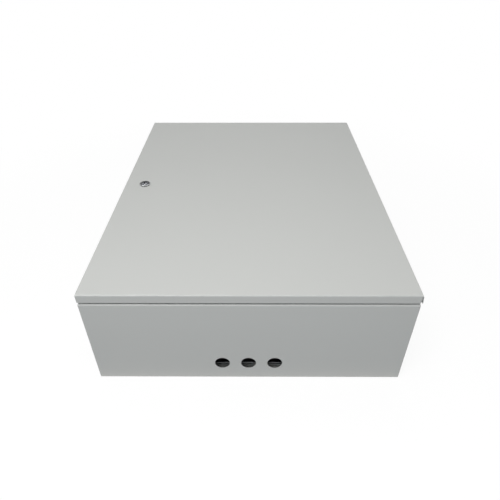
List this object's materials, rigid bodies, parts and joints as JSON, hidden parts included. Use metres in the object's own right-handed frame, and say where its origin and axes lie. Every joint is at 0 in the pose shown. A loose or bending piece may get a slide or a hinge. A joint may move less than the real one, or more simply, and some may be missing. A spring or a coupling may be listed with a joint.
{
  "type": "wall-mount utility cabinet",
  "caption": "Grey sheet-steel utility cabinet on its back, with a hinged flanged door, a quarter-turn cam lock, round cable holes in the bottom end and a mounting plate inside.",
  "frame": {"origin": "middle of the back, on the plane that meets the wall", "axes": "+X towards the hinge side, +Y towards the top end, +Z out of the door; the cabinet lies on its back"},
  "size_m": [0.6016, 0.8, 0.2253],
  "materials": {
    "cabinet_paint": "light grey powder coat, satin, with a fine orange-peel texture",
    "galvanised_plate": "galvanised sheet with a dull spangle",
    "plated_steel": "zinc-plated, satin",
    "gasket_foam": "matte closed-cell foam",
    "lock_chrome": "polished chrome plate",
    "lock_core_metal": "die-cast, nickel plated"
  },
  "bodies": {
    "cabinet": {"enclosure_body": "cabinet_paint", "mounting_plate": "galvanised_plate", "plate_studs": "plated_steel", "plate_spacers": "plated_steel", "plate_washers": "plated_steel", "plate_nuts": "plated_steel", "hinge_bracket_upper": "cabinet_paint", "hinge_bracket_lower": "cabinet_paint", "hinge_pin_upper": "plated_steel", "hinge_pin_lower": "plated_steel", "body_earth_stud": "plated_steel", "body_earth_washer": "plated_steel", "body_earth_nut": "plated_steel"},
    "door": {"door_panel": "cabinet_paint", "door_gasket": "gasket_foam", "hinge_leaf_upper": "cabinet_paint", "hinge_leaf_lower": "cabinet_paint", "door_earth_stud": "plated_steel", "door_earth_washer": "plated_steel", "door_earth_nut": "plated_steel", "lock_housing": "lock_chrome", "lock_seal": "gasket_foam", "lock_nut": "plated_steel"},
    "lock": {"lock_core": "lock_core_metal", "lock_cam": "plated_steel", "cam_washer": "plated_steel", "cam_screw": "plated_steel"}
  },
  "joints": [
    {"name": "door_hinge", "type": "hinge", "parent": "cabinet", "child": "door", "pos_m": [0.29245, 0, 0.21295], "axis": [0, 1, 0], "range_deg": [0, 115]},
    {"name": "lock_turn", "type": "hinge", "parent": "door", "child": "lock", "pos_m": [-0.25281, -0.003, 0.2], "axis": [0, 0, 1], "range_deg": [0, 90]}
  ]
}
